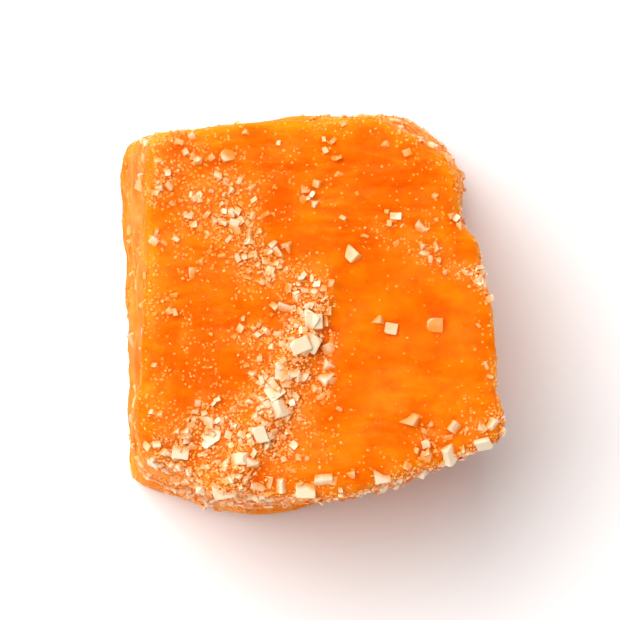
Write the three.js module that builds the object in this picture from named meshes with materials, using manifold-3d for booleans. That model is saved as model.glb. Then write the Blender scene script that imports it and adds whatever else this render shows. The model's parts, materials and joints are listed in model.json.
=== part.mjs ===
// One cube of candied pineapple, dyed orange and coated with sugar, in millimetres.
// It lies on its flat underside, with +Z up and the origin under the middle of its box.
import * as THREE from "three";
import { mergeVertices } from "three/addons/utils/BufferGeometryUtils.js";
import Module from "manifold-3d";

const wasm = await Module();
wasm.setup();

// Driving dimensions. A side's reach is its distance from the middle of the cube.
const HEIGHT = 12.3;
const LEFT_REACH = 6.9;
const RIGHT_REACH = 6.15;
const BACK_REACH = 7.15;
const FRONT_REACH = 7.2;
const EDGE_ROUNDING = 0.37;
const UNDERSIDE_TRIM = 0.09;

// Each cut is flat. It faces a compass angle, counted from +X towards +Y, and its rise is the angle
// by which it looks upwards, so a side with some rise leans in towards the top.
const CUTS = {
  top: { facing: 215, rise: 88, reach: HEIGHT / 2 },
  underside: { facing: 0, rise: -90, reach: HEIGHT / 2 + UNDERSIDE_TRIM },
  left: { facing: 180, rise: -1.5, reach: LEFT_REACH },
  right: { facing: 6, rise: 2.4, reach: RIGHT_REACH },
  back: { facing: 95.5, rise: 1.5, reach: BACK_REACH },
  front: { facing: -84, rise: 1, reach: FRONT_REACH },
  frontRight: { facing: -66, rise: 0.5, reach: FRONT_REACH },
  frontLeftCorner: { facing: -112, rise: 2, reach: 8.1 },
  backRightCorner: { facing: 52, rise: 9, reach: 7.6 },
};

// How deep each large face has sunk at its middle while the piece dried
const SAG = { top: 0.2, left: 0.14, right: 0.3, back: 0.34, front: 0.12 };
const SAG_SPREAD = 4.6;

// The left face is twisted: its top edge is drawn in at the back and stands out at the front
const LEFT_TWIST = 0.28;

// The bite out of the cut corner: where it is, the compass angle that it opens to, how wide, how
// high and how deep
const NOTCH = new THREE.Vector3(5.3, 3.6, 6.0);
const NOTCH_FACING = 30;
const NOTCH_WIDTH = 1.05;
const NOTCH_HEIGHT = 5.2;
const NOTCH_DEPTH = 0.85;

// The fold on the top face: it starts near the middle and runs to the front edge and down the front
const FOLD_START = new THREE.Vector2(-0.3, 0.6);
const FOLD_SLANT = 0.47;
const FOLD_HEIGHT = 0.32;
const FOLD_WIDTH = 0.62;
const FOLD_FADE_IN = 0.45;
const FOLD_DROP = HEIGHT / 3;
const GUTTER_DEPTH = 0.13;
const GUTTER_OFFSET = 1.15;
const GUTTER_WIDTH = 0.6;

// The smooth shallow dish right of the fold
const DISH = new THREE.Vector2(3.1, -1.6);
const DISH_WIDTH = 2.4;
const DISH_DEPTH = 0.16;

// Lumps all over, and the bundles of fibre in the fruit, which run along X
const LUMP_HEIGHT = 0.16;
const BUNDLE_SPACING = 2.3;
const BUNDLE_HEIGHT = 0.08;
const BUNDLE_WANDER = 0.45;

// The mesh of the core: cells along an edge, and how much they crowd towards the edges
const CELLS = 22;
const EDGE_CROWDING = 0.95;

// Where the upright edges of the core stand, so that rows of cells follow them
const EDGE_POSTS = {
  frontLeft: new THREE.Vector2(-6.4, -6.4),
  frontRight: new THREE.Vector2(6.6, -4.9),
  backLeft: new THREE.Vector2(-6.6, 6.6),
  backRight: new THREE.Vector2(4.4, 5.7),
};

// Coarse sugar in rows over the top face: both ends, how many crystals, how far they stray and
// their usual width
const SUGAR_ROWS = [
  { from: [-0.4, 0.1], to: [-3.6, -6.6], count: 12, stray: 0.4, width: 0.6 },
  { from: [-0.5, -0.2], to: [-3.7, -6.7], count: 16, stray: 0.65, width: 0.38 },
  { from: [-4.4, 4.2], to: [-1.7, 0.6], count: 10, stray: 0.7, width: 0.46 },
  { from: [-0.05, -1.3], to: [-0.35, -3.3], count: 3, stray: 0.08, width: 0.48 },
  { from: [-6.2, -5.7], to: [-4.2, -4.6], count: 7, stray: 0.55, width: 0.56 },
  { from: [3.1, -5.6], to: [5.8, -4.4], count: 6, stray: 0.4, width: 0.48 },
  { from: [2.2, 3.1], to: [5.0, 1.3], count: 5, stray: 0.4, width: 0.46 },
  { from: [-1.1, 3.9], to: [-0.6, 3.7], count: 2, stray: 0.08, width: 0.5 },
  { from: [1.4, -0.6], to: [2.5, -0.9], count: 2, stray: 0.08, width: 0.42 },
];
const ROW_HEIGHT = HEIGHT / 2;

// Coarse sugar along the front face, under its upper edge, and everywhere else
const RIM_CRYSTALS = 16;
const RIM_FROM = new THREE.Vector3(-5.6, -6.9, 5.2);
const RIM_TO = new THREE.Vector3(6.2, -5.2, 5.4);
const RIM_STRAY = 0.7;
const RIM_WIDTH = 0.58;
const SCATTERED_CRYSTALS = 60;
const SCATTERED_WIDTH = 0.5;
const SCATTERED_SLOPES = [-0.68, 0.98];
const SCATTERED_STRAY = { turn: 0.35, slope: 0.02 };
const LOWEST_CRYSTAL = 1.1;

// A crystal is a small block with uneven sides, sunk a little into the fruit
const CRYSTAL_SPREAD = 0.3;
const CRYSTAL_FLATNESS = [0.62, 0.95];
const CRYSTAL_SINK = 0.24;
const SUGAR_SEED = 20261;

const FRUIT_MATERIAL = new THREE.MeshStandardMaterial({ color: 0xf98210, roughness: 0.5, metalness: 0 });

function cutNormal({ facing, rise }) {
  const turn = THREE.MathUtils.degToRad(facing);
  const lift = THREE.MathUtils.degToRad(rise);
  return new THREE.Vector3(
    Math.cos(lift) * Math.cos(turn),
    Math.cos(lift) * Math.sin(turn),
    Math.sin(lift),
  );
}

const NOTCH_OPENING = cutNormal({ facing: NOTCH_FACING, rise: 0 });
const PLANES = Object.entries(CUTS).map(([name, cut]) => ({
  name,
  normal: cutNormal(cut),
  reach: cut.reach,
}));

function bell(distance, width) {
  return Math.exp(-((distance / width) ** 2));
}

// Three slow waves, each bent by another, so that no two lumps are alike
function lumps({ x, y, z }) {
  const first = Math.sin(1.3 * x + 2.1 * Math.sin(0.7 * y + 0.4) + 0.9 * z);
  const second = Math.sin(1.5 * y + 1.7 * Math.sin(0.8 * z + 1.3) + 0.6 * x);
  const third = Math.sin(1.2 * z + 1.9 * Math.sin(0.6 * x + 2.2) - 0.8 * y);
  return (LUMP_HEIGHT * (first + second + third)) / 3;
}

// Seen from the side the bundles are ridges, and at their ends they are knobs
function bundles({ x, y, z }) {
  const turn = (2 * Math.PI) / BUNDLE_SPACING;
  const across = y + BUNDLE_WANDER * Math.sin(0.5 * x + 0.7 * z);
  const up = z + BUNDLE_WANDER * Math.sin(0.45 * x - 0.6 * y + 1.1);
  return (BUNDLE_HEIGHT * (Math.sin(turn * across) + Math.sin(turn * up))) / 2;
}

// The cross-section of the fold, with the gutter along its right side
function foldProfile(offset) {
  const ridge = FOLD_HEIGHT * bell(offset, FOLD_WIDTH);
  const gutter = GUTTER_DEPTH * bell(offset - GUTTER_OFFSET, GUTTER_WIDTH);
  return ridge - gutter;
}

function topRelief({ x, y }) {
  const along = FOLD_START.y - y;
  const offset = x - (FOLD_START.x - FOLD_SLANT * along);
  const grown = 1 / (1 + Math.exp(-along / FOLD_FADE_IN));
  const dish = DISH_DEPTH * bell(Math.hypot(x - DISH.x, y - DISH.y), DISH_WIDTH);
  return grown * foldProfile(offset) - dish;
}

// Down the front the fold keeps slanting and fades out by half height
function frontRelief({ x, z }) {
  const drop = HEIGHT / 2 - z;
  const foot = FOLD_START.x - FOLD_SLANT * (FOLD_START.y + FRONT_REACH + drop);
  return foldProfile(x - foot) * bell(drop, FOLD_DROP);
}

function relief(point, shares) {
  let height = lumps(point) + bundles(point);
  for (const { name, normal } of PLANES) {
    const depth = SAG[name] ?? 0;
    const away = point.clone().addScaledVector(normal, -point.dot(normal)).length();
    height -= depth * shares[name] * bell(away, SAG_SPREAD);
  }
  height -= (LEFT_TWIST * shares.left * point.y * point.z) / (BACK_REACH * (HEIGHT / 2));
  height += shares.top * topRelief(point);
  height += (shares.front + shares.frontLeftCorner) * frontRelief(point);
  return height * (1 - shares.underside);
}

function notchDepth({ x, y, z }) {
  const away = Math.hypot(x - NOTCH.x, y - NOTCH.y);
  return NOTCH_DEPTH * bell(away, NOTCH_WIDTH) * bell(z - NOTCH.z, NOTCH_HEIGHT);
}

// The point of the fruit's surface in one direction from the middle. Where cuts meet they blend, so
// that the edges are round, and each cut's share says how far it makes the surface there.
function surfacePoint(direction) {
  const weights = {};
  let total = 0;
  for (const { name, normal, reach } of PLANES) {
    const towards = normal.dot(direction);
    const weight = towards > 0 ? Math.exp(-reach / towards / EDGE_ROUNDING) : 0;
    weights[name] = weight;
    total += weight;
  }
  const point = direction.clone().multiplyScalar(-EDGE_ROUNDING * Math.log(total));
  const outward = new THREE.Vector3();
  const shares = {};
  for (const { name, normal } of PLANES) {
    shares[name] = weights[name] / total;
    outward.addScaledVector(normal, shares[name]);
  }
  outward.normalize();
  const notched = notchDepth(point);
  point.addScaledVector(outward, relief(point, shares));
  point.addScaledVector(NOTCH_OPENING, -notched);
  point.z = Math.max(point.z, -HEIGHT / 2);
  return { point, outward };
}

// A cell corner of the box, with its three coordinates from -1 to 1, gives a direction
function cellDirection(across, along, up) {
  const [u, v, w] = [across, along, up].map((t) => Math.sin(EDGE_CROWDING * t) / Math.sin(EDGE_CROWDING));
  const front = EDGE_POSTS.frontLeft.clone().lerp(EDGE_POSTS.frontRight, (u + 1) / 2);
  const back = EDGE_POSTS.backLeft.clone().lerp(EDGE_POSTS.backRight, (u + 1) / 2);
  const place = front.lerp(back, (v + 1) / 2);
  return new THREE.Vector3(place.x, place.y, (w * HEIGHT) / 2).normalize();
}

function solidFrom(geometry) {
  geometry.deleteAttribute("normal");
  geometry.deleteAttribute("uv");
  const merged = mergeVertices(geometry, 1e-4);
  const vertProperties = new Float32Array(merged.attributes.position.array);
  const triVerts = new Uint32Array(merged.index.array);
  return new wasm.Manifold(new wasm.Mesh({ numProp: 3, vertProperties, triVerts }));
}

function geometryFrom(solid) {
  const { vertProperties, triVerts } = solid.getMesh();
  const geometry = new THREE.BufferGeometry();
  geometry.setAttribute("position", new THREE.BufferAttribute(vertProperties, 3));
  geometry.setIndex(new THREE.BufferAttribute(triVerts, 1));
  return geometry;
}

function fruit() {
  const geometry = new THREE.BoxGeometry(2, 2, 2, CELLS, CELLS, CELLS);
  const corners = geometry.attributes.position;
  for (let i = 0; i < corners.count; i += 1) {
    const direction = cellDirection(corners.getX(i), corners.getY(i), corners.getZ(i));
    const { point } = surfacePoint(direction);
    corners.setXYZ(i, point.x, point.y, point.z);
  }
  return solidFrom(geometry);
}

// A repeatable source of numbers from 0 to 1
function seededDraw(seed) {
  let state = seed;
  return () => {
    state = (state * 1664525 + 1013904223) % 4294967296;
    return state / 4294967296;
  };
}

const draw = seededDraw(SUGAR_SEED);

function between(low, high) {
  return low + (high - low) * draw();
}

function randomDirection() {
  const up = between(-1, 1);
  const turn = between(0, 2 * Math.PI);
  const level = Math.sqrt(1 - up * up);
  return new THREE.Vector3(level * Math.cos(turn), level * Math.sin(turn), up);
}

function crystal(aim, usualWidth) {
  const { point, outward } = surfacePoint(aim.clone().normalize());
  const width = usualWidth * between(1 - CRYSTAL_SPREAD, 1 + CRYSTAL_SPREAD);
  const depth = width * between(...CRYSTAL_FLATNESS);
  const thickness = width * between(...CRYSTAL_FLATNESS);
  const turn = new THREE.Quaternion().setFromAxisAngle(randomDirection(), between(0, Math.PI));
  const place = point.addScaledVector(outward, -CRYSTAL_SINK * width);
  const block = new THREE.BoxGeometry(width, depth, thickness);
  block.applyQuaternion(turn);
  block.translate(place.x, place.y, place.z);
  return block;
}

function rowCrystals({ from, to, count, stray, width }) {
  return Array.from({ length: count }, (_, i) => {
    const t = (i + 0.5) / count;
    const x = THREE.MathUtils.lerp(from[0], to[0], t) + between(-stray, stray);
    const y = THREE.MathUtils.lerp(from[1], to[1], t) + between(-stray, stray);
    return crystal(new THREE.Vector3(x, y, ROW_HEIGHT), width);
  });
}

function rimCrystals() {
  return Array.from({ length: RIM_CRYSTALS }, (_, i) => {
    const aim = RIM_FROM.clone().lerp(RIM_TO, (i + 0.5) / RIM_CRYSTALS);
    aim.x += between(-RIM_STRAY, RIM_STRAY) / 2;
    aim.z += between(-RIM_STRAY, RIM_STRAY);
    return crystal(aim, RIM_WIDTH);
  });
}

// Evenly spread directions, each moved a little, without those that meet the fruit too low
function scatteredCrystals() {
  const turnStep = Math.PI * (3 - Math.sqrt(5));
  const lowest = LOWEST_CRYSTAL - HEIGHT / 2;
  const found = [];
  for (let i = 0; i < SCATTERED_CRYSTALS; i += 1) {
    const slope = THREE.MathUtils.lerp(...SCATTERED_SLOPES, (i + 0.5) / SCATTERED_CRYSTALS);
    const up = slope + between(-SCATTERED_STRAY.slope, SCATTERED_STRAY.slope);
    const turn = i * turnStep + between(-SCATTERED_STRAY.turn, SCATTERED_STRAY.turn);
    const level = Math.sqrt(1 - up * up);
    const aim = new THREE.Vector3(level * Math.cos(turn), level * Math.sin(turn), up);
    if (surfacePoint(aim).point.z > lowest) {
      found.push(crystal(aim, SCATTERED_WIDTH));
    }
  }
  return found;
}

function candiedCube() {
  const crystals = [...SUGAR_ROWS.flatMap(rowCrystals), ...rimCrystals(), ...scatteredCrystals()];
  const solid = crystals.reduce((joined, block) => joined.add(solidFrom(block)), fruit());
  const geometry = geometryFrom(solid);
  geometry.computeBoundingBox();
  const middle = geometry.boundingBox.getCenter(new THREE.Vector3());
  geometry.translate(-middle.x, -middle.y, HEIGHT / 2);
  const mesh = new THREE.Mesh(geometry, FRUIT_MATERIAL);
  mesh.name = "candied_cube";
  return mesh;
}

const group = new THREE.Group();
group.add(candiedCube());

export default group;
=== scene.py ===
"""A cube of candied pineapple, dyed orange and coated with sugar, on a pale floor."""

import json
import math

import bmesh
import bpy
import numpy as np
from mathutils import Matrix, Quaternion, Vector, noise
from mathutils.bvhtree import BVHTree

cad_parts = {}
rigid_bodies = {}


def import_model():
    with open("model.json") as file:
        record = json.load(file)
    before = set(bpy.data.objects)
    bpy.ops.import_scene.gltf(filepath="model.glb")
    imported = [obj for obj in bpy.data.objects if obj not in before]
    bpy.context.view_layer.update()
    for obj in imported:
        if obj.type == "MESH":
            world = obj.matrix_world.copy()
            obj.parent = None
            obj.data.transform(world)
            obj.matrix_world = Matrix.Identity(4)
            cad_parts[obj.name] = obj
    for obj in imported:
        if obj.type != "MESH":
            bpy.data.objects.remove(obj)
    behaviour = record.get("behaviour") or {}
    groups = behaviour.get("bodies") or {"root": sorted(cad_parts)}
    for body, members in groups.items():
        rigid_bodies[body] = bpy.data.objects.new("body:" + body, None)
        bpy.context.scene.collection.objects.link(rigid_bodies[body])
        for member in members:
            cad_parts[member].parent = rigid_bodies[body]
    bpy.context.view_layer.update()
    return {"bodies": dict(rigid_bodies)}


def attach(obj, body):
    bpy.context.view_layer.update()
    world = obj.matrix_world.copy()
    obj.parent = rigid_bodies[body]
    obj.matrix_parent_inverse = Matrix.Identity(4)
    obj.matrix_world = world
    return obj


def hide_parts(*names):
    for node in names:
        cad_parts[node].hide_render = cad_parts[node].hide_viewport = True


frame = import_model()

bl_info = {
    "name": "Candied pineapple cube",
    "version": (1, 0, 0),
    "blender": (4, 5, 0),
    "location": "3D View > Sidebar > Candied fruit",
    "description": "Builds a sugared cube of candied pineapple and the stage that it lies on",
    "category": "Add Mesh",
}

NODE = "candied_cube"
BODY = next(iter(frame["bodies"]))

# The solid's own dimensions in millimetres. A side's reach is its distance from the middle of the
# cube, and MIDDLE is where the middle of the solid's box lies from there.
MM = 0.001
HEIGHT = 12.3
LEFT_REACH = 6.9
RIGHT_REACH = 6.15
BACK_REACH = 7.15
FRONT_REACH = 7.2
EDGE_ROUNDING = 0.37
UNDERSIDE_TRIM = 0.09
MIDDLE = (-0.252, 0.007)

# Each cut faces a compass angle, counted from +X towards +Y, and its rise is the angle by which it
# looks upwards. The third number is its reach.
CUTS = {
    "top": (215, 88, HEIGHT / 2),
    "underside": (0, -90, HEIGHT / 2 + UNDERSIDE_TRIM),
    "left": (180, -1.5, LEFT_REACH),
    "right": (6, 2.4, RIGHT_REACH),
    "back": (95.5, 1.5, BACK_REACH),
    "front": (-84, 1, FRONT_REACH),
    "front_right": (-66, 0.5, FRONT_REACH),
    "front_left_corner": (-112, 2, 8.1),
    "back_right_corner": (52, 9, 7.6),
}
CUT_NAMES = list(CUTS)

# How deep each large face has sunk at its middle, and how far the left face is twisted
SAG = {"top": 0.2, "left": 0.14, "right": 0.3, "back": 0.34, "front": 0.12}
SAG_SPREAD = 4.6
LEFT_TWIST = 0.28

# The bite out of the cut corner, and the compass angle that it opens to
NOTCH = (5.3, 3.6, 6.0)
NOTCH_FACING = 30
NOTCH_WIDTH = 1.05
NOTCH_HEIGHT = 5.2
NOTCH_DEPTH = 0.85

# The fold that runs over the top face to the front edge and down the front, and its gutter
FOLD_START = (-0.3, 0.6)
FOLD_SLANT = 0.47
FOLD_HEIGHT = 0.32
FOLD_WIDTH = 0.62
FOLD_FADE_IN = 0.45
FOLD_DROP = HEIGHT / 3
GUTTER_DEPTH = 0.13
GUTTER_OFFSET = 1.15
GUTTER_WIDTH = 0.6

# The smooth shallow dish right of the fold
DISH = (3.1, -1.6)
DISH_WIDTH = 2.4
DISH_DEPTH = 0.16

# Lumps all over, and the bundles of fibre in the fruit, which run along X
LUMP_HEIGHT = 0.16
BUNDLE_SPACING = 2.3
BUNDLE_HEIGHT = 0.08
BUNDLE_WANDER = 0.45

# Where the upright edges stand, so that rows of cells follow them, and how much cells crowd there
EDGE_POSTS = {
    "front_left": (-6.4, -6.4),
    "front_right": (6.6, -4.9),
    "back_left": (-6.6, 6.6),
    "back_right": (4.4, 5.7),
}
EDGE_CROWDING = 0.95

# Coarse sugar in rows over the top face: both ends, how many crystals, how far they stray and
# their usual width
SUGAR_ROWS = [
    ((-0.4, 0.1), (-3.6, -6.6), 12, 0.4, 0.6),
    ((-0.5, -0.2), (-3.7, -6.7), 16, 0.65, 0.38),
    ((-4.4, 4.2), (-1.7, 0.6), 10, 0.7, 0.46),
    ((-0.05, -1.3), (-0.35, -3.3), 3, 0.08, 0.48),
    ((-6.2, -5.7), (-4.2, -4.6), 7, 0.55, 0.56),
    ((3.1, -5.6), (5.8, -4.4), 6, 0.4, 0.48),
    ((2.2, 3.1), (5.0, 1.3), 5, 0.4, 0.46),
    ((-1.1, 3.9), (-0.6, 3.7), 2, 0.08, 0.5),
    ((1.4, -0.6), (2.5, -0.9), 2, 0.08, 0.42),
]

# Coarse sugar along the front face, under its upper edge, and everywhere else
RIM_CRYSTALS = 16
RIM_FROM = Vector((-5.6, -6.9, 5.2))
RIM_TO = Vector((6.2, -5.2, 5.4))
RIM_STRAY = 0.7
RIM_WIDTH = 0.58
SCATTERED_CRYSTALS = 60
SCATTERED_WIDTH = 0.5
SCATTERED_SLOPES = (-0.68, 0.98)
SCATTERED_TURN_STRAY = 0.35
SCATTERED_SLOPE_STRAY = 0.02
LOWEST_CRYSTAL = 1.1
CRYSTAL_SPREAD = 0.3
CRYSTAL_FLATNESS = (0.62, 0.95)
CRYSTAL_SINK = 0.24
SUGAR_SEED = 20261

# Fine sugar on the top face lies in drifts: both ends, how wide and how thick, where 1 is a full cover
SUGAR_DRIFTS = [
    ((-0.4, 0.5), (-1.4, -1.5), 0.6, 0.75),
    ((-1.4, -1.5), (-2.2, -3.0), 0.75, 1.1),
    ((-2.2, -3.0), (-2.3, -5.0), 0.75, 0.7),
    ((-2.4, -4.4), (-4.3, -7.2), 1.3, 0.65),
    ((-4.6, 3.6), (-1.3, 0.5), 0.75, 0.42),
    ((-3.6, 4.5), (-3.1, 0.6), 0.5, 0.25),
    ((-6.2, 5.4), (-4.6, 3.6), 1.9, 0.34),
    ((-6.8, 5.0), (-7.0, -2.0), 0.7, 0.1),
    ((-6.6, -5.9), (-4.7, -4.5), 1.0, 0.6),
    ((-3.9, -1.35), (-2.7, -1.0), 0.4, 0.5),
    ((-0.05, -1.3), (-0.35, -3.3), 0.3, 0.35),
    ((2.0, 2.8), (5.4, 1.0), 0.5, 0.55),
    ((3.3, 3.8), (3.9, 1.9), 0.4, 0.25),
    ((2.6, -5.6), (6.2, -3.6), 0.9, 0.4),
]

# The trail of fine sugar down the front face: its middle, its width, how far down it reaches and
# how thick it is, and the band under the face's upper edge
TRAIL_MIDDLE = -3.9
TRAIL_WIDTH = 1.5
TRAIL_DROP = 9.0
TRAIL_COVER = 0.75
BAND_DROP = 2.2
BAND_COVER = 0.55

# Fine sugar elsewhere: the even cover of each face and of the edges, what patches add to it, and
# more on the left half of the top face and in a haze at its back right
TOP_COVER = 0.05
FRONT_COVER = 0.1
LEFT_COVER = 0.04
SIDE_COVER = 0.16
EDGE_COVER = 0.1
FRONT_PATCHES = 0.35
LEFT_PATCHES = 0.26
SIDE_PATCHES = 0.34
EDGE_PATCHES = 0.5
PATCH_WIDTHS = (2.6, 2.6, 2.6)
PATCH_CONTRAST = 1.1
LEFT_HALF_COVER = 0.17
LEFT_HALF_END = 0.4
LEFT_HALF_FADE = 0.3
HAZE_COVER = 0.08
HAZE_MIDDLE = (2.6, 3.6)
HAZE_WIDTH = 2.6

# The edges carry less sugar at the back right and round the left side
BARE_EDGE = (2.5, 6.6)
BARE_EDGE_WIDTH = 4.0
BARE_EDGE_LOSS = 0.75
LEFT_EDGE_LOSS = 0.85

# Flecks make any cover uneven, and the lowest strip stays bare
FLECK_WIDTHS = (0.8, 0.8, 0.8)
FLECK_STRENGTH = 1.1
BARE_FOOT = 0.25
BARE_FOOT_FADE = 0.8

# Relief too fine for the solid: how wide its wrinkles and strands are along each axis, how far they
# wander, and how far apart its pits lie, with their width as a share of that
WRINKLE_WIDTHS = (1.5, 1.1, 1.1)
STRAND_WIDTHS = (3.2, 0.42, 0.42)
WANDER_WIDTHS = (1.9, 1.9, 1.9)
WRINKLE_WANDER = 0.5
STRAND_WANDER = 0.2
PIT_SPACING = 1.05
PIT_WIDTH = 0.2

# The smooth place on the right of the top face, and how much lower strands and pits are there, and
# pits under sugar
SMOOTH_MIDDLE = (3.2, -1.0)
SMOOTH_WIDTH = 3.4
SMOOTH_STRAND_LOSS = 0.7
SMOOTH_PIT_LOSS = 0.6
COVERED_PIT_LOSS = 0.5

# Patterns in the flesh, in repeats a millimetre. Along X the strands repeat only a share as often.
CLOUDS = 0.32
MOTTLE = 1.1
STRANDS = 2.6
STRAND_SHARE_ALONG_X = 0.3
GRAIN = 5.5
SPECKS = 6.5

# Where the clouds, the mottle and the strands turn the orange deeper, and how much painted shade
# darkens the left side, and over how many millimetres that painted shade fades
DEEP_FROM = 0.46
DEEP_TO = 0.78
LEFT_PAINTED_SHADE = 0.45
LEFT_SHADE_FADE = 0.6

# The film of sugar thickens from one cover to another, unevenly by the grain. A speck's core and
# edge are shares of the distance between specks, and the cover decides how many there are.
FILM_FROM = 0.1
FILM_TO = 1.0
FILM_GRAIN = 0.7
SPECK_CORE = 0.2
SPECK_EDGE = 0.4
SPECK_SHARE = 0.9
SPECK_FADE = 0.12

# How much the film and the specks hide the flesh, how rough the flesh is, the height of its bumps
# in metres, and how far each colour of light spreads in it
FILM_STRENGTH = 0.8
SPECK_STRENGTH = 0.55
FLESH_ROUGHNESS = 0.36
FILM_ROUGHNESS = 0.26
GRAIN_ROUGHNESS = 0.1
FLESH_BUMP = 0.00006
GLOW_COLOUR = (0.35, 1.0, 1.0)

# Sugar's clouds, in repeats a millimetre, and how many millimetres higher than it stands clouds
# and heaps make it look. Below a low cover it lies alone and is less white. Sugar low on the flesh
# and lone grains are painted with the flesh's orange light seen through them, partly also the
# syrup's stain, while high sugar and heaps stay white.
SUGAR_CLOUDS = 3.0
CLOUD_RISE = 0.2
HEAP_RISE = 0.04
HEAP_FROM = 0.5
ALONE_UP_TO = 0.08
TOGETHER_FROM = 0.35
WHITE_LOST_ALONE = 0.65

# Shapes of crystals: how many there are of each kind, and as shares of a crystal's width its skew,
# the depth of its chips and how worn its edges are
COARSE_SHAPES = 7
GRAIN_SHAPES = 4
CRYSTAL_SKEW = 0.25
CHIP_DEPTH = (0.18, 0.42)
CRYSTAL_WEAR = 0.05
SHAPE_SEED = 11
SHAPE_SEED_STEP = 7

# Least and most width, depth and thickness of a loose grain, as shares of its usual width, and how
# far it sinks in, as shares of its greatest sinking, with a fixed seed for each
GRAIN_LEAST = (0.45, 0.45, 0.4)
GRAIN_MOST = (1.35, 1.25, 1.05)
SINK_LEAST = -0.2
SINK_MOST = 1.0
SIZE_SEED = 3
TURN_SEED = 5
SINK_SEED = 7

# The floor's faint shading
FLOOR_CLOUDS = 0.02
FLOOR_SHADE = 0.985


class FruitSettings(bpy.types.PropertyGroup):
    """Sizes and colours of the fruit itself."""

    cells: bpy.props.IntProperty(
        name="Cells along an edge",
        description="Fineness of the fruit's mesh",
        default=120,
        min=20,
        max=128,
    )
    wrinkle: bpy.props.FloatProperty(
        name="Wrinkles",
        description="Height of the wrinkles of the dried skin",
        default=0.00007,
        unit="LENGTH",
    )
    strand: bpy.props.FloatProperty(
        name="Fibre strands",
        description="Height of single strands of fibre",
        default=0.00006,
        unit="LENGTH",
    )
    pit: bpy.props.FloatProperty(
        name="Pits", description="Depth of the small pits", default=0.00007, unit="LENGTH"
    )
    glow_reach: bpy.props.FloatProperty(
        name="Glow reach",
        description="How far light spreads inside the fruit",
        default=0.0015,
        unit="LENGTH",
    )
    flesh: bpy.props.FloatVectorProperty(
        name="Flesh",
        description="Orange of the plain flesh",
        subtype="COLOR",
        size=3,
        default=(0.84, 0.235, 0.002),
    )
    deep: bpy.props.FloatVectorProperty(
        name="Deep flesh",
        description="Orange of smooth, deep places",
        subtype="COLOR",
        size=3,
        default=(0.76, 0.145, 0.0005),
    )
    frosted: bpy.props.FloatVectorProperty(
        name="Frosted flesh",
        description="Flesh under a film of fine sugar",
        subtype="COLOR",
        size=3,
        default=(0.98, 0.31, 0.035),
    )
    speck: bpy.props.FloatVectorProperty(
        name="Specks",
        description="Half dissolved specks of sugar",
        subtype="COLOR",
        size=3,
        default=(1.0, 0.6, 0.2),
    )


class SugarSettings(bpy.types.PropertyGroup):
    """Sizes and colours of the sugar on the fruit."""

    fine_density: bpy.props.FloatProperty(
        name="Fine grains",
        description="Fine grains on a square metre of the most sugared flesh",
        default=1.3e7,
    )
    fine_width: bpy.props.FloatProperty(
        name="Fine grain width",
        description="Usual width of a fine grain",
        default=0.00025,
        unit="LENGTH",
    )
    dust_density: bpy.props.FloatProperty(
        name="Dust grains",
        description="Dust grains on a square metre of the most sugared flesh",
        default=8.0e7,
    )
    dust_width: bpy.props.FloatProperty(
        name="Dust grain width",
        description="Usual width of a grain of dust",
        default=0.00009,
        unit="LENGTH",
    )
    # The crystal colour's warm tint is painted orange light from the flesh shining through the sugar.
    crystal: bpy.props.FloatVectorProperty(
        name="Crystal",
        description="Colour of sugar that stands clear of the flesh",
        subtype="COLOR",
        size=3,
        default=(1.0, 0.86, 0.61),
    )
    # Sugar on the flesh: partly the syrup's stain, partly painted orange light from the flesh seen through
    # the grain.
    stain_and_painted_glow: bpy.props.FloatVectorProperty(
        name="Stained",
        description="Colour of sugar where it touches the flesh",
        subtype="COLOR",
        size=3,
        default=(1.0, 0.36, 0.05),
    )


class StageSettings(bpy.types.PropertyGroup):
    """The floor, the light and the camera."""

    floor: bpy.props.FloatVectorProperty(
        name="Floor", description="Colour of the floor", subtype="COLOR", size=3, default=(0.9, 0.9, 0.9)
    )
    sky: bpy.props.FloatProperty(
        name="Sky", description="Strength of the light from all round", default=1.0
    )
    ceiling: bpy.props.FloatProperty(
        name="Ceiling",
        description="Light from straight above, as a share of the light from the sides",
        default=0.15,
        subtype="FACTOR",
    )
    key: bpy.props.FloatProperty(
        name="Key light", description="Strength of the soft light from the upper left", default=3.1
    )
    picture_width: bpy.props.FloatProperty(
        name="Picture width",
        description="Width of the picture at the cube",
        default=0.0235,
        unit="LENGTH",
    )
    lens: bpy.props.FloatProperty(
        name="Lens", description="Focal length", default=600, unit="CAMERA"
    )


def cut_normal(facing, rise):
    turn = math.radians(facing)
    lift = math.radians(rise)
    return (math.cos(lift) * math.cos(turn), math.cos(lift) * math.sin(turn), math.sin(lift))


NORMALS = np.array([cut_normal(facing, rise) for facing, rise, _ in CUTS.values()])
REACHES = np.array([reach for _, _, reach in CUTS.values()])


def bell(distance, width):
    return np.exp(-((distance / width) ** 2))


def share_of(shares, *names):
    return sum(shares[:, CUT_NAMES.index(name)] for name in names)


def lumps(x, y, z):
    first = np.sin(1.3 * x + 2.1 * np.sin(0.7 * y + 0.4) + 0.9 * z)
    second = np.sin(1.5 * y + 1.7 * np.sin(0.8 * z + 1.3) + 0.6 * x)
    third = np.sin(1.2 * z + 1.9 * np.sin(0.6 * x + 2.2) - 0.8 * y)
    return LUMP_HEIGHT * (first + second + third) / 3


def bundles(x, y, z):
    turn = 2 * math.pi / BUNDLE_SPACING
    across = y + BUNDLE_WANDER * np.sin(0.5 * x + 0.7 * z)
    up = z + BUNDLE_WANDER * np.sin(0.45 * x - 0.6 * y + 1.1)
    return BUNDLE_HEIGHT * (np.sin(turn * across) + np.sin(turn * up)) / 2


def fold_profile(offset):
    ridge = FOLD_HEIGHT * bell(offset, FOLD_WIDTH)
    gutter = GUTTER_DEPTH * bell(offset - GUTTER_OFFSET, GUTTER_WIDTH)
    return ridge - gutter


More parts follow.
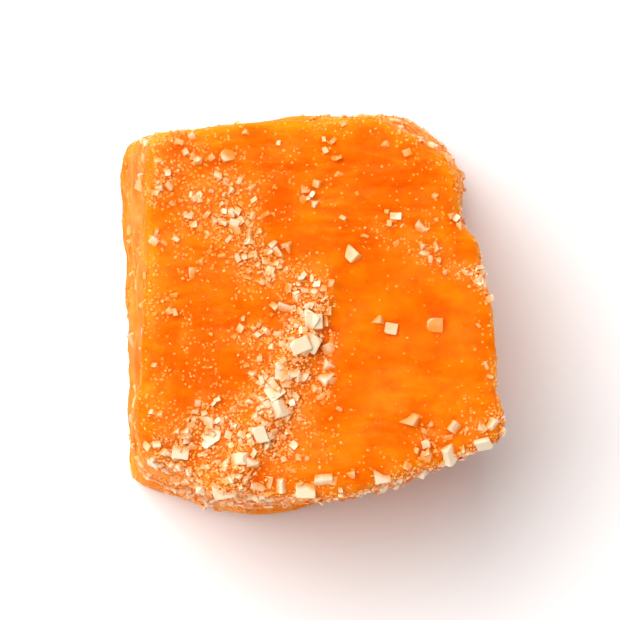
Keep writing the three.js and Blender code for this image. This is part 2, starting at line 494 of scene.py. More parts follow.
def fold_offset(x, y):
    """How far a place on the top face lies to the right of the fold."""
    return x - (FOLD_START[0] - FOLD_SLANT * (FOLD_START[1] - y))


def fold_growth(y):
    """0 behind the fold's start and 1 along it."""
    return 1 / (1 + np.exp(-(FOLD_START[1] - y) / FOLD_FADE_IN))


def front_offset(x, z):
    """How far a place on the front face lies to the right of the fold's foot."""
    drop = HEIGHT / 2 - z
    return x - (FOLD_START[0] - FOLD_SLANT * (FOLD_START[1] + FRONT_REACH + drop))


def relief(points, shares):
    """Height of the solid's own relief over its flat cuts."""
    x, y, z = points.T
    height = lumps(x, y, z) + bundles(x, y, z)
    for name, depth in SAG.items():
        normal = NORMALS[CUT_NAMES.index(name)]
        away = np.linalg.norm(points - np.outer(points @ normal, normal), axis=1)
        height -= depth * share_of(shares, name) * bell(away, SAG_SPREAD)
    height -= LEFT_TWIST * share_of(shares, "left") * y * z / (BACK_REACH * HEIGHT / 2)
    dish = DISH_DEPTH * bell(np.hypot(x - DISH[0], y - DISH[1]), DISH_WIDTH)
    height += share_of(shares, "top") * (fold_growth(y) * fold_profile(fold_offset(x, y)) - dish)
    foot = fold_profile(front_offset(x, z)) * bell(HEIGHT / 2 - z, FOLD_DROP)
    height += share_of(shares, "front", "front_left_corner") * foot
    return height * (1 - share_of(shares, "underside"))


def notch_depth(points):
    x, y, z = points.T
    away = np.hypot(x - NOTCH[0], y - NOTCH[1])
    return NOTCH_DEPTH * bell(away, NOTCH_WIDTH) * bell(z - NOTCH[2], NOTCH_HEIGHT)


def surface(directions):
    """Points of the solid's surface in these directions from its middle, the way that the surface
    faces there, and how far each cut makes the surface there."""
    towards = directions @ NORMALS.T
    ahead = np.maximum(towards, 1e-6)
    weights = np.where(towards > 0, np.exp(-REACHES / ahead / EDGE_ROUNDING), 0)
    total = weights.sum(axis=1)
    shares = weights / total[:, None]
    points = directions * (-EDGE_ROUNDING * np.log(total))[:, None]
    outward = shares @ NORMALS
    outward /= np.linalg.norm(outward, axis=1)[:, None]
    notched = np.outer(notch_depth(points), cut_normal(NOTCH_FACING, 0))
    points += outward * relief(points, shares)[:, None] - notched
    points[:, 2] = np.maximum(points[:, 2], -HEIGHT / 2)
    return points, outward, shares


def placed(points):
    """Millimetres from the middle of the cuts become metres in the row frame."""
    return (points + np.array([-MIDDLE[0], -MIDDLE[1], HEIGHT / 2])) * MM


def box_lattice(cells):
    """The corners of the cells on a box's six faces, each once and from -1 to 1, and the cells as
    quads that face out."""
    steps = np.arange(cells + 1)
    a, b = np.meshgrid(steps, steps, indexing="ij")
    count = (cells + 1) ** 2
    index = np.arange(count).reshape(cells + 1, cells + 1)
    around = [index[:-1, :-1], index[1:, :-1], index[1:, 1:], index[:-1, 1:]]
    quad = np.stack(around, axis=-1).reshape(-1, 4)
    corners = []
    quads = []
    for axis in range(3):
        for end in (0, cells):
            face = np.zeros((cells + 1, cells + 1, 3), int)
            face[..., axis] = end
            face[..., (axis + 1) % 3] = a
            face[..., (axis + 2) % 3] = b
            facing_out = quad if end else quad[:, ::-1]
            quads.append(facing_out + count * len(corners))
            corners.append(face.reshape(-1, 3))
    corners = np.concatenate(corners)
    unique, first_seen = np.unique(corners, axis=0, return_inverse=True)
    return unique / cells * 2 - 1, first_seen.reshape(-1)[np.concatenate(quads)]


def cell_directions(lattice):
    """Directions from the middle of the cube, with the rows of cells along the upright edges."""
    u, v, w = (np.sin(EDGE_CROWDING * lattice) / math.sin(EDGE_CROWDING)).T
    right = ((u + 1) / 2)[:, None]
    back = ((v + 1) / 2)[:, None]
    posts = {name: np.array(place) for name, place in EDGE_POSTS.items()}
    front_place = posts["front_left"] * (1 - right) + posts["front_right"] * right
    back_place = posts["back_left"] * (1 - right) + posts["back_right"] * right
    places = front_place * (1 - back) + back_place * back
    directions = np.column_stack([places, w * HEIGHT / 2])
    return directions / np.linalg.norm(directions, axis=1)[:, None]


def noise_at(points, widths):
    """Smooth noise from about -1 to 1, with features about as wide as given along each axis."""
    return np.array([noise.noise(Vector(point)) for point in points / np.array(widths)])


def cell_distance(points, width):
    """Distance to the nearest of many scattered places, as a share of their usual spacing."""
    return np.array([noise.voronoi(Vector(point))[0][0] for point in points / width])


def distance_from_line(x, y, start, end):
    """Distance from a line on the top face."""
    run = np.array([end[0] - start[0], end[1] - start[1]])
    along = ((x - start[0]) * run[0] + (y - start[1]) * run[1]) / (run @ run)
    along = np.clip(along, 0, 1)
    return np.hypot(x - start[0] - along * run[0], y - start[1] - along * run[1])


def top_cover(x, y):
    """Fine sugar on the top face: more on the left half, a haze at the back right, and drifts."""
    left_half = 1 / (1 + np.exp((x - LEFT_HALF_END) / LEFT_HALF_FADE))
    haze = bell(np.hypot(x - HAZE_MIDDLE[0], y - HAZE_MIDDLE[1]), HAZE_WIDTH)
    cover = TOP_COVER + LEFT_HALF_COVER * left_half + HAZE_COVER * haze
    for start, end, width, amount in SUGAR_DRIFTS:
        cover = cover + amount * bell(distance_from_line(x, y, start, end), width)
    return cover


def front_cover(x, z, patches):
    """Fine sugar on the front: a band under the upper edge, the trail, and patches."""
    drop = HEIGHT / 2 - z
    trail = TRAIL_COVER * bell(x - TRAIL_MIDDLE, TRAIL_WIDTH) * bell(drop, TRAIL_DROP)
    return FRONT_COVER + BAND_COVER * bell(drop, BAND_DROP) + trail + FRONT_PATCHES * patches


def edge_cover(x, y, patches, shares):
    """Fine sugar that the edges carry beyond the faces."""
    edge = 1 - shares.max(axis=1)
    bare = bell(np.hypot(x - BARE_EDGE[0], y - BARE_EDGE[1]), BARE_EDGE_WIDTH)
    kept = (1 - BARE_EDGE_LOSS * bare) * (1 - LEFT_EDGE_LOSS * share_of(shares, "left"))
    return (EDGE_COVER + EDGE_PATCHES * patches) * edge * kept


def sugar_cover(points, shares):
    """How much sugar lies at each point, from 0 to 1."""
    x, y, z = points.T
    top = share_of(shares, "top")
    left = share_of(shares, "left")
    front = share_of(shares, "front", "front_right", "front_left_corner")
    sides = 1 - top - left - front - share_of(shares, "underside")
    patches = np.clip(0.5 + PATCH_CONTRAST * noise_at(points, PATCH_WIDTHS), 0, 1)
    on_left = LEFT_COVER + LEFT_PATCHES * patches**2
    elsewhere = SIDE_COVER + SIDE_PATCHES * patches**2
    cover = top * top_cover(x, y) + front * front_cover(x, z, patches)
    cover += left * on_left + sides * elsewhere + edge_cover(x, y, patches, shares)
    flecks = noise_at(points, FLECK_WIDTHS)
    off_ground = np.clip((z + HEIGHT / 2 - BARE_FOOT) / BARE_FOOT_FADE, 0, 1)
    return np.clip(cover * (1 + FLECK_STRENGTH * flecks) * off_ground, 0, 1)


def fine_relief(points, shares, cover, settings):
    """Relief too fine for the solid: wrinkles, strands of fibre and pits."""
    x, y, _ = points.T
    wander = noise_at(points, WANDER_WIDTHS)[:, None]
    wrinkles = noise_at(points + WRINKLE_WANDER * wander, WRINKLE_WIDTHS)
    strands = 1 - 2 * np.abs(noise_at(points + STRAND_WANDER * wander, STRAND_WIDTHS))
    pits = bell(cell_distance(points, PIT_SPACING), PIT_WIDTH)
    from_smooth = np.hypot(x - SMOOTH_MIDDLE[0], y - SMOOTH_MIDDLE[1])
    smooth = share_of(shares, "top") * bell(from_smooth, SMOOTH_WIDTH)
    height = settings.wrinkle * wrinkles
    height += settings.strand * strands * (1 - SMOOTH_STRAND_LOSS * smooth)
    height -= settings.pit * pits * (1 - SMOOTH_PIT_LOSS * smooth) * (1 - COVERED_PIT_LOSS * cover)
    return height / MM * (1 - share_of(shares, "underside"))


def new_object(name, data):
    obj = bpy.data.objects.new(name, data)
    bpy.context.scene.collection.objects.link(obj)
    return obj


def mesh_object(name, vertices, faces):
    mesh = bpy.data.meshes.new(name)
    mesh.from_pydata(vertices.tolist(), [], np.asarray(faces).tolist())
    mesh.update()
    return new_object(name, mesh)


def store(obj, name, kind, values):
    """Keeps one value for each point of the mesh under a name that materials and node trees read."""
    attribute = obj.data.attributes.new(name, kind, "POINT")
    field = "vector" if kind == "FLOAT_VECTOR" else "value"
    attribute.data.foreach_set(field, np.asarray(values, np.float32).ravel())


class Draw:
    """The same repeatable numbers from 0 to 1 that place the solid's crystals."""

    def __init__(self, seed):
        self.state = seed

    def between(self, low, high):
        self.state = (self.state * 1664525 + 1013904223) % 4294967296
        return low + (high - low) * self.state / 4294967296


class Crystals:
    """Places, turns and sizes of the coarse crystals, as the solid has them."""

    def __init__(self):
        self.draw = Draw(SUGAR_SEED)
        self.places = []
        self.covers = []
        self.turns = []
        self.sizes = []

    def add(self, aim, usual_width):
        direction = np.array(aim.normalized())[None, :]
        points, outward, shares = surface(direction)
        width = usual_width * self.draw.between(1 - CRYSTAL_SPREAD, 1 + CRYSTAL_SPREAD)
        depth = width * self.draw.between(*CRYSTAL_FLATNESS)
        thickness = width * self.draw.between(*CRYSTAL_FLATNESS)
        up = self.draw.between(-1, 1)
        turn = self.draw.between(0, 2 * math.pi)
        level = math.sqrt(1 - up * up)
        axis = Vector((level * math.cos(turn), level * math.sin(turn), up))
        angle = self.draw.between(0, math.pi)
        self.places.append(points[0] - outward[0] * CRYSTAL_SINK * width)
        self.covers.append(sugar_cover(points, shares)[0])
        self.turns.append(Quaternion(axis, angle).to_euler("XYZ"))
        self.sizes.append((width * MM, depth * MM, thickness * MM))

    def add_row(self, start, end, count, stray, width):
        for i in range(count):
            t = (i + 0.5) / count
            x = start[0] + (end[0] - start[0]) * t + self.draw.between(-stray, stray)
            y = start[1] + (end[1] - start[1]) * t + self.draw.between(-stray, stray)
            self.add(Vector((x, y, HEIGHT / 2)), width)

    def add_rim(self):
        for i in range(RIM_CRYSTALS):
            aim = RIM_FROM.lerp(RIM_TO, (i + 0.5) / RIM_CRYSTALS)
            aim.x += self.draw.between(-RIM_STRAY, RIM_STRAY) / 2
            aim.z += self.draw.between(-RIM_STRAY, RIM_STRAY)
            self.add(aim, RIM_WIDTH)

    def add_scattered(self):
        turn_step = math.pi * (3 - math.sqrt(5))
        for i in range(SCATTERED_CRYSTALS):
            low, high = SCATTERED_SLOPES
            slope = low + (high - low) * (i + 0.5) / SCATTERED_CRYSTALS
            up = slope + self.draw.between(-SCATTERED_SLOPE_STRAY, SCATTERED_SLOPE_STRAY)
            turn = i * turn_step + self.draw.between(-SCATTERED_TURN_STRAY, SCATTERED_TURN_STRAY)
            level = math.sqrt(1 - up * up)
            aim = Vector((level * math.cos(turn), level * math.sin(turn), up))
            points, _, _ = surface(np.array(aim)[None, :])
            if points[0][2] > LOWEST_CRYSTAL - HEIGHT / 2:
                self.add(aim, SCATTERED_WIDTH)


class Socket:
    """One output of a node. Arithmetic on it adds Math nodes to the same tree."""

    def __init__(self, nodes, output):
        self.nodes = nodes
        self.output = output

    def other(self, name):
        """Another output of the same node."""
        return Socket(self.nodes, self.output.node.outputs[name])

    def math(self, operation, *values):
        return self.nodes.add("ShaderNodeMath", {"operation": operation}, dict(enumerate(values)))

    def __add__(self, other):
        return self.math("ADD", self, other)

    def __sub__(self, other):
        return self.math("SUBTRACT", self, other)

    def __rsub__(self, other):
        return self.math("SUBTRACT", other, self)

    def __mul__(self, other):
        return self.math("MULTIPLY", self, other)

    __radd__ = __add__
    __rmul__ = __mul__


class NodeTree:
    """Adds nodes to a material's or a modifier's tree."""

    def __init__(self, tree):
        self.tree = tree

    def add(self, kind, settings=None, inputs=None, output=0):
        """A node of this kind, with its settings made first and then the values or links of its
        sockets. Returns one of its outputs."""
        node = self.tree.nodes.new(kind)
        for name, value in (settings or {}).items():
            if name == "stops":
                self.set_stops(node.color_ramp, value)
            else:
                setattr(node, name, value)
        for key, value in (inputs or {}).items():
            socket = node.inputs[key]
            if isinstance(value, Socket):
                self.tree.links.new(value.output, socket)
            else:
                socket.default_value = value
        return Socket(self, node.outputs[output] if node.outputs else None)

    def set_stops(self, ramp, stops):
        while len(ramp.elements) < len(stops):
            ramp.elements.new(1.0)
        for element, (position, colour) in zip(ramp.elements, stops):
            element.position = position
            element.color = colour

    def mix(self, factor, first, second):
        """A blend of two colours, which are the node's sockets 6 and 7."""
        inputs = {"Factor": factor, 6: first, 7: second}
        return self.add("ShaderNodeMix", {"data_type": "RGBA", "clamp_factor": True}, inputs, output=2)

    def noise(self, place, scale, detail=2.0, roughness=0.5):
        inputs = {"Vector": place, "Scale": scale, "Detail": detail, "Roughness": roughness}
        return self.add("ShaderNodeTexNoise", {}, inputs)

    def steps(self, value, low, high):
        """0 below low, 1 above high and a smooth rise between."""
        inputs = {"Value": value, "From Min": low, "From Max": high}
        return self.add("ShaderNodeMapRange", {"interpolation_type": "SMOOTHSTEP", "clamp": True}, inputs)


def opaque(colour):
    return (*colour, 1.0)


def new_material(name):
    material = bpy.data.materials.new(name)
    material.use_nodes = True
    material.node_tree.nodes.clear()
    return material, NodeTree(material.node_tree)


def finish_material(nodes, shader):
    nodes.add("ShaderNodeOutputMaterial", {}, {"Surface": shader})


def place_in_mm(nodes, stretch=(1, 1, 1)):
    """Object coordinates in millimetres, times a stretch."""
    place = nodes.add("ShaderNodeTexCoord", output="Object")
    factors = tuple(factor / MM for factor in stretch)
    return nodes.add("ShaderNodeVectorMath", {"operation": "MULTIPLY"}, {0: place, 1: factors})


def fruit_material(settings):
    """Orange gel with fibres in it, with painted shade on the left side, under a film of fine sugar and
    specks where the cover says so."""
    material, nodes = new_material("candied_fruit")
    place = place_in_mm(nodes)
    along_fibres = place_in_mm(nodes, (STRAND_SHARE_ALONG_X, 1, 1))
    cover = nodes.add("ShaderNodeAttribute", {"attribute_name": "cover"}, output="Fac")
    clouds = nodes.noise(place, CLOUDS, detail=3.0)
    mottle = nodes.noise(place, MOTTLE)
    strands = nodes.noise(along_fibres, STRANDS, detail=3.0, roughness=0.6)
    grain = nodes.noise(place, GRAIN, roughness=0.6)
    speck = nodes.add("ShaderNodeTexVoronoi", {}, {"Vector": place, "Scale": SPECKS})
    chance = nodes.add("ShaderNodeSeparateColor", {}, {"Color": speck.other("Color")})
    shown = nodes.steps(cover * SPECK_SHARE - chance, -SPECK_FADE, SPECK_FADE)
    specks = (1 - nodes.steps(speck, SPECK_CORE, SPECK_EDGE)) * shown

    deep_tone_and_shade = nodes.steps(clouds * 0.5 + mottle * 0.5 + 0.25 * strands, DEEP_FROM, DEEP_TO)
    across = nodes.add("ShaderNodeSeparateXYZ", {}, {"Vector": place}, output="X")
    # Painted shade: the orange of the left face is darkened, on top of the random deeper tone.
    on_left = 1 - nodes.steps(across, -LEFT_REACH, LEFT_SHADE_FADE - LEFT_REACH)
    deep_tone_and_shade = deep_tone_and_shade + LEFT_PAINTED_SHADE * on_left
    flesh = nodes.mix(deep_tone_and_shade, opaque(settings.flesh), opaque(settings.deep))
    film = nodes.steps(cover + FILM_GRAIN * (grain - 0.5), FILM_FROM, FILM_TO)
    filmed = nodes.mix(film * FILM_STRENGTH, flesh, opaque(settings.frosted))
    colour = nodes.mix(specks * SPECK_STRENGTH, filmed, opaque(settings.speck))

    roughness = FLESH_ROUGHNESS + FILM_ROUGHNESS * film + GRAIN_ROUGHNESS * grain
    height = 0.5 * strands + 0.4 * grain + 0.9 * specks
    bump = nodes.add("ShaderNodeBump", {}, {"Strength": 0.5, "Distance": FLESH_BUMP, "Height": height})
    shader = nodes.add(
        "ShaderNodeBsdfPrincipled",
        {},
        {
            "Base Color": colour,
            "Roughness": roughness,
            "IOR": 1.4,
            "Specular IOR Level": 0.07,
            "Subsurface Weight": 1.0,
            "Subsurface Radius": GLOW_COLOUR,
            "Subsurface Scale": settings.glow_reach,
            "Normal": bump,
        },
    )
    finish_material(nodes, shader)
    return material


def sugar_material(name, settings, clearness, roughness, white_from):
    """Sugar that is painted with the orange light of the flesh seen through it, and partly stained by the
    syrup, where it touches the flesh and where it lies alone. It is whiter in heaps, and white from a
    height in millimetres above the flesh."""
    material, nodes = new_material(name)
    place = place_in_mm(nodes)
    rise = nodes.add("ShaderNodeAttribute", {"attribute_name": "rise"}, output="Fac")
    cover = nodes.add("ShaderNodeAttribute", {"attribute_name": "cover"}, output="Fac")
    clouds = nodes.noise(place, SUGAR_CLOUDS)
    heaped = nodes.steps(cover, HEAP_FROM, 1.0)
    height = rise * (1 / MM) + CLOUD_RISE * (clouds - 0.5) + HEAP_RISE * heaped
    alone = 1 - nodes.steps(cover, ALONE_UP_TO, TOGETHER_FROM)
    # Painted light: less white sugar takes more of the flesh's orange light, painted into its colour.
    whiteness = nodes.steps(height, 0.0, white_from) * (1 - WHITE_LOST_ALONE * alone)
    colour = nodes.mix(whiteness, opaque(settings.stain_and_painted_glow), opaque(settings.crystal))
    shader = nodes.add(
        "ShaderNodeBsdfPrincipled",
        {},
        {"Base Color": colour, "Roughness": roughness, "IOR": 1.54, "Transmission Weight": clearness},
    )
    finish_material(nodes, shader)
    return material


def floor_material(colour):
    material, nodes = new_material("pale_floor")
    place = place_in_mm(nodes)
    clouds = nodes.noise(place, FLOOR_CLOUDS)
    shaded = tuple(FLOOR_SHADE * part for part in colour)
    pale = nodes.mix(clouds, opaque(colour), opaque(shaded))
    shader = nodes.add("ShaderNodeBsdfPrincipled", {}, {"Base Color": pale, "Roughness": 0.7})
    finish_material(nodes, shader)
    return material


def crystal_shape(name, chips, worn, seed):
    """A block one unit wide, a little skewed, with some of its corners chipped off and its edges
    worn down."""
    draw = Draw(seed)
    shape = bmesh.new()
    bmesh.ops.create_cube(shape, size=1.0)
    skews = [draw.between(-CRYSTAL_SKEW, CRYSTAL_SKEW) for _ in range(2)]
    bmesh.ops.transform(shape, matrix=Matrix.Shear("XY", 4, skews), verts=shape.verts)
    shape.verts.ensure_lookup_table()
    for _ in range(chips):
        corner = shape.verts[int(draw.between(0, 8))]
        if corner.is_valid and len(corner.link_faces) == 3:
            offset = draw.between(*CHIP_DEPTH)
            bmesh.ops.bevel(shape, geom=[corner], offset=offset, segments=1, affect="VERTICES")
            shape.verts.ensure_lookup_table()
    if worn:
        bmesh.ops.bevel(shape, geom=shape.edges, offset=worn, segments=1, affect="EDGES")
    mesh = bpy.data.meshes.new(name)
    shape.to_mesh(mesh)
    shape.free()
    return bpy.data.objects.new(name, mesh)


class CrystalShapes:
    """A collection of crystal shapes that exists while a node tree uses it."""

    def __init__(self, name, count, chips, worn=0):
        self.name = name
        self.count = count
        self.chips = chips
        self.worn = worn

    def __enter__(self):
        self.collection = bpy.data.collections.new(self.name)
        for i in range(self.count):
            seed = SHAPE_SEED + SHAPE_SEED_STEP * i
            shape = crystal_shape(f"{self.name}_{i}", self.chips, self.worn, seed)
            self.collection.objects.link(shape)
        return self.collection

    def __exit__(self, *error):
        for obj in list(self.collection.objects):
            bpy.data.objects.remove(obj)
        bpy.data.collections.remove(self.collection)


def new_geometry_tree(name, inputs):
    """A geometry node tree with a geometry input and output and these named inputs."""
    tree = bpy.data.node_groups.new(name, "GeometryNodeTree")
    tree.interface.new_socket("Geometry", in_out="INPUT", socket_type="NodeSocketGeometry")
    tree.interface.new_socket("Geometry", in_out="OUTPUT", socket_type="NodeSocketGeometry")
    for label, kind in inputs.items():
        tree.interface.new_socket(label, in_out="INPUT", socket_type=kind)
    entry = tree.nodes.new("NodeGroupInput")
    nodes = NodeTree(tree)
    return nodes, {output.name: Socket(nodes, output) for output in entry.outputs if output.name}


def end_geometry_tree(nodes, instances, material):
    real = nodes.add("GeometryNodeRealizeInstances", {}, {"Geometry": instances})
    dressed = nodes.add("GeometryNodeSetMaterial", {}, {"Geometry": real, "Material": material})
    nodes.add("NodeGroupOutput", {}, {"Geometry": dressed})
    return nodes.tree


def placed_crystals_tree():
    """Puts a crystal at each point, with the point's own size and turn."""
    nodes, inputs = new_geometry_tree(
        "placed_crystals", {"Shapes": "NodeSocketCollection", "Material": "NodeSocketMaterial"}
    )
    shapes = nodes.add(
        "GeometryNodeCollectionInfo", {}, {"Collection": inputs["Shapes"], "Separate Children": True}
    )
    vector = {"data_type": "FLOAT_VECTOR"}
    size = nodes.add("GeometryNodeInputNamedAttribute", vector, {"Name": "size"})
    turn = nodes.add("GeometryNodeInputNamedAttribute", vector, {"Name": "turn"})
    crystals = nodes.add(
        "GeometryNodeInstanceOnPoints",
        {},
        {
            "Points": inputs["Geometry"],
            "Instance": shapes,
            "Pick Instance": True,
            "Rotation": turn,
            "Scale": size,
        },
    )
    return end_geometry_tree(nodes, crystals, inputs["Material"])


def scattered_grains_tree():
    """Scatters grains over a surface, most where its cover is highest."""
    nodes, inputs = new_geometry_tree(
        "scattered_grains",
        {
            "Shapes": "NodeSocketCollection",
            "Material": "NodeSocketMaterial",
            "Density": "NodeSocketFloat",
            "Width": "NodeSocketFloat",
            "Sink": "NodeSocketFloat",
            "Seed": "NodeSocketInt",
        },
    )
    cover = nodes.add("GeometryNodeInputNamedAttribute", {"data_type": "FLOAT"}, {"Name": "cover"})
    density = inputs["Density"] * cover * cover
    scatter = {"Mesh": inputs["Geometry"], "Density": density, "Seed": inputs["Seed"]}
    points = nodes.add("GeometryNodeDistributePointsOnFaces", {"distribute_method": "RANDOM"}, scatter)
    normal = points.other("Normal")
    sizes = nodes.add(
        "FunctionNodeRandomValue",
        {"data_type": "FLOAT_VECTOR"},
        {"Min": GRAIN_LEAST, "Max": GRAIN_MOST, "Seed": SIZE_SEED},
    )
    size = nodes.add("ShaderNodeVectorMath", {"operation": "SCALE"}, {0: sizes, "Scale": inputs["Width"]})
    turn = nodes.add(
        "FunctionNodeRandomValue",
        {"data_type": "FLOAT_VECTOR"},
        {"Min": (0, 0, 0), "Max": (2 * math.pi,) * 3, "Seed": TURN_SEED},
    )
    depths = {2: SINK_LEAST, 3: SINK_MOST, "Seed": SINK_SEED}
    depth = nodes.add("FunctionNodeRandomValue", {"data_type": "FLOAT"}, depths, output=1)
    lift = depth * inputs["Sink"] * inputs["Width"] * -1.0
    offset = nodes.add("ShaderNodeVectorMath", {"operation": "SCALE"}, {0: normal, "Scale": lift})
    moved = nodes.add("GeometryNodeSetPosition", {}, {"Geometry": points, "Offset": offset})
    shapes = nodes.add(
        "GeometryNodeCollectionInfo", {}, {"Collection": inputs["Shapes"], "Separate Children": True}
    )
    grains = nodes.add(
        "GeometryNodeInstanceOnPoints",
        {},
        {"Points": moved, "Instance": shapes, "Pick Instance": True, "Rotation": turn, "Scale": size},
    )
    return end_geometry_tree(nodes, grains, inputs["Material"])


def dress(obj, tree, values):
    """Runs a geometry node tree on an object and keeps what it makes as the object's plain mesh."""
    modifier = obj.modifiers.new(tree.name, "NODES")
    modifier.node_group = tree
    for item in tree.interface.items_tree:
        if item.in_out == "INPUT" and item.name in values:
            modifier[item.identifier] = values[item.name]
    evaluated = obj.evaluated_get(bpy.context.evaluated_depsgraph_get())
    mesh = bpy.data.meshes.new_from_object(evaluated)
    obj.modifiers.clear()
    obj.data = mesh
    mesh.name = obj.name


def store_rise(sugar, fruit):
    """Keeps for each point of the sugar how far it stands above the flesh."""
    corners = [vertex.co for vertex in fruit.data.vertices]
    flesh = BVHTree.FromPolygons(corners, [face.vertices for face in fruit.data.polygons])
    heights = []
    for vertex in sugar.data.vertices:
        foot, normal, _, _ = flesh.find_nearest(vertex.co)
        heights.append((vertex.co - foot).dot(normal))
    store(sugar, "rise", "FLOAT", heights)


def scatter_grains(name, material, chips, values):
    """Turns a copy of the fruit into grains that lie on it."""
    fruit = bpy.data.objects["fruit"]
    grains = new_object(name, fruit.data.copy())
    with CrystalShapes(f"{name}_shape", GRAIN_SHAPES, chips) as shapes:
        dress(grains, scattered_grains_tree(), {"Shapes": shapes, "Material": material, **values})
    store_rise(grains, fruit)
    hand_over(grains)


def hand_over(obj):
    """The finished piece moves with the cube's body."""
    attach(obj, BODY)


class BuildFruit(bpy.types.Operator):
    """Builds the fruit: the solid's own form with wrinkles, fibres and pits"""

    bl_idname = "candied.build_fruit"
    bl_label = "Build fruit"

    def execute(self, context):
        settings = context.scene.candied_fruit
        lattice, quads = box_lattice(settings.cells)
        points, outward, shares = surface(cell_directions(lattice))
        cover = sugar_cover(points, shares)
        points += outward * fine_relief(points, shares, cover, settings)[:, None]
        points[:, 2] = np.maximum(points[:, 2], -HEIGHT / 2)
        fruit = mesh_object("fruit", placed(points), quads)
        fruit.data.shade_smooth()
        store(fruit, "cover", "FLOAT", cover)
        fruit.data.materials.append(fruit_material(settings))
        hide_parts(NODE)
        hand_over(fruit)
        return {"FINISHED"}


class AddCoarseSugar(bpy.types.Operator):
    """Adds the coarse crystals at the places where the solid has them"""

    bl_idname = "candied.add_coarse_sugar"
    bl_label = "Add coarse sugar"

    def execute(self, context):
        settings = context.scene.candied_sugar
        crystals = Crystals()
        for row in SUGAR_ROWS:
            crystals.add_row(*row)
        crystals.add_rim()
        crystals.add_scattered()
        sugar = mesh_object("coarse_sugar", placed(np.array(crystals.places)), [])
        store(sugar, "cover", "FLOAT", crystals.covers)
        store(sugar, "size", "FLOAT_VECTOR", crystals.sizes)
        store(sugar, "turn", "FLOAT_VECTOR", crystals.turns)
        material = sugar_material("coarse_sugar", settings, clearness=0.3, roughness=0.12, white_from=0.17)
        with CrystalShapes("block", COARSE_SHAPES, chips=4, worn=CRYSTAL_WEAR) as shapes:
            dress(sugar, placed_crystals_tree(), {"Shapes": shapes, "Material": material})
        store_rise(sugar, bpy.data.objects["fruit"])
        hand_over(sugar)
        return {"FINISHED"}


class AddFineSugar(bpy.types.Operator):
    """Scatters fine grains over the fruit, most where it is covered"""

    bl_idname = "candied.add_fine_sugar"
    bl_label = "Add fine sugar"

    def execute(self, context):
        settings = context.scene.candied_sugar
        material = sugar_material("fine_sugar", settings, clearness=0.2, roughness=0.15, white_from=0.27)
        values = {"Density": settings.fine_density, "Width": settings.fine_width, "Sink": 0.4, "Seed": 1}
        scatter_grains("fine_sugar", material, chips=2, values=values)
        return {"FINISHED"}


class AddSugarDust(bpy.types.Operator):
    """Scatters dust over the fruit, most where it is covered"""

    bl_idname = "candied.add_sugar_dust"
    bl_label = "Add sugar dust"

    def execute(self, context):
        settings = context.scene.candied_sugar
        material = sugar_material("sugar_dust", settings, clearness=0.0, roughness=0.4, white_from=0.32)
        values = {"Density": settings.dust_density, "Width": settings.dust_width, "Sink": 0.3, "Seed": 2}
        scatter_grains("sugar_dust", material, chips=0, values=values)
        return {"FINISHED"}


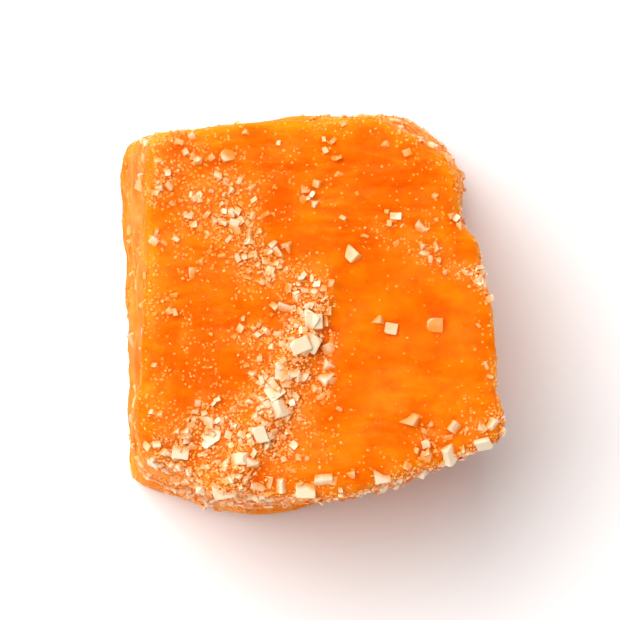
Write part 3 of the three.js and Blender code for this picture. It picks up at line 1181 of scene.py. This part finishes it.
class SetStage(bpy.types.Operator):
    """Sets the floor, the light and the camera"""

    bl_idname = "candied.set_stage"
    bl_label = "Set stage"

    FLOOR_HALF = 0.6
    LIGHT_FROM = Vector((-0.42, 0.3, 0.8))
    LIGHT_ANGLE = math.radians(50)
    VIEW_LEANS = (-0.10, -0.04)

    # Heights on a dome of radius 1 up to which the sides' light reaches and from which the
    # ceiling's does
    SIDES_UP_TO = 0.1
    CEILING_FROM = 0.95

    def execute(self, context):
        settings = context.scene.candied_stage
        self.lay_floor(settings)
        self.hang_lights(context.scene, settings)
        self.place_camera(context.scene, settings)
        return {"FINISHED"}

    def lay_floor(self, settings):
        half = self.FLOOR_HALF
        corners = np.array([(-half, -half, 0), (half, -half, 0), (half, half, 0), (-half, half, 0)])
        floor = mesh_object("floor", corners, np.array([(0, 1, 2, 3)]))
        floor.data.materials.append(floor_material(settings.floor))

    def hang_lights(self, scene, settings):
        world = bpy.data.worlds.new("studio")
        world.use_nodes = True
        world.node_tree.nodes.clear()
        nodes = NodeTree(world.node_tree)
        direction = nodes.add("ShaderNodeTexCoord", output="Generated")
        height = nodes.add("ShaderNodeSeparateXYZ", {}, {"Vector": direction}, output="Z")
        grey = (settings.ceiling,) * 3
        overhead = nodes.steps(height, self.SIDES_UP_TO, self.CEILING_FROM)
        colour = nodes.mix(overhead, (1, 1, 1, 1), opaque(grey))
        background = nodes.add("ShaderNodeBackground", {}, {"Color": colour, "Strength": settings.sky})
        nodes.add("ShaderNodeOutputWorld", {}, {"Surface": background})
        scene.world = world
        lamp = bpy.data.lights.new("key_light", "SUN")
        lamp.angle = self.LIGHT_ANGLE
        lamp.energy = settings.key
        holder = new_object("key_light", lamp)
        holder.rotation_euler = self.LIGHT_FROM.to_track_quat("Z", "Y").to_euler()

    def place_camera(self, scene, settings):
        """The camera looks down, leaning a little to the left and the front, with +Y up the
        picture."""
        lean_x, lean_y = self.VIEW_LEANS
        back = Vector((lean_x, lean_y, math.sqrt(1 - lean_x**2 - lean_y**2)))
        right = Vector((0, 1, 0)).cross(back).normalized()
        up = back.cross(right)
        lens = bpy.data.cameras.new("camera")
        lens.lens = settings.lens
        lens.clip_start = 0.001
        lens.clip_end = 10
        distance = settings.picture_width * settings.lens / lens.sensor_width
        camera = new_object("camera", lens)
        place = Vector((0, 0, HEIGHT / 2 * MM)) + back * distance
        turn = Matrix((right, up, back)).transposed().to_4x4()
        camera.matrix_world = Matrix.Translation(place) @ turn
        scene.camera = camera
        scene.view_settings.view_transform = "Standard"
        scene.view_settings.look = "Medium High Contrast"


class CandiedPanel(bpy.types.Panel):
    """The cube's settings and the steps that build it"""

    bl_idname = "VIEW3D_PT_candied_cube"
    bl_label = "Candied pineapple cube"
    bl_space_type = "VIEW_3D"
    bl_region_type = "UI"
    bl_category = "Candied fruit"

    def draw(self, context):
        scene = context.scene
        for settings in (scene.candied_fruit, scene.candied_sugar, scene.candied_stage):
            box = self.layout.box()
            for name in settings.__annotations__:
                box.prop(settings, name)
        for operator in OPERATORS:
            self.layout.operator(operator.bl_idname)


OPERATORS = (BuildFruit, AddCoarseSugar, AddFineSugar, AddSugarDust, SetStage)
SETTINGS = {
    "candied_fruit": FruitSettings,
    "candied_sugar": SugarSettings,
    "candied_stage": StageSettings,
}


def register():
    for settings in SETTINGS.values():
        bpy.utils.register_class(settings)
    for name, settings in SETTINGS.items():
        setattr(bpy.types.Scene, name, bpy.props.PointerProperty(type=settings))
    for shown in (*OPERATORS, CandiedPanel):
        bpy.utils.register_class(shown)


def unregister():
    for shown in (CandiedPanel, *reversed(OPERATORS)):
        bpy.utils.unregister_class(shown)
    for name, settings in SETTINGS.items():
        delattr(bpy.types.Scene, name)
        bpy.utils.unregister_class(settings)


def main():
    register()
    bpy.ops.candied.build_fruit()
    bpy.ops.candied.add_coarse_sugar()
    bpy.ops.candied.add_fine_sugar()
    bpy.ops.candied.add_sugar_dust()
    bpy.ops.candied.set_stage()


if __name__ == "__main__":
    main()
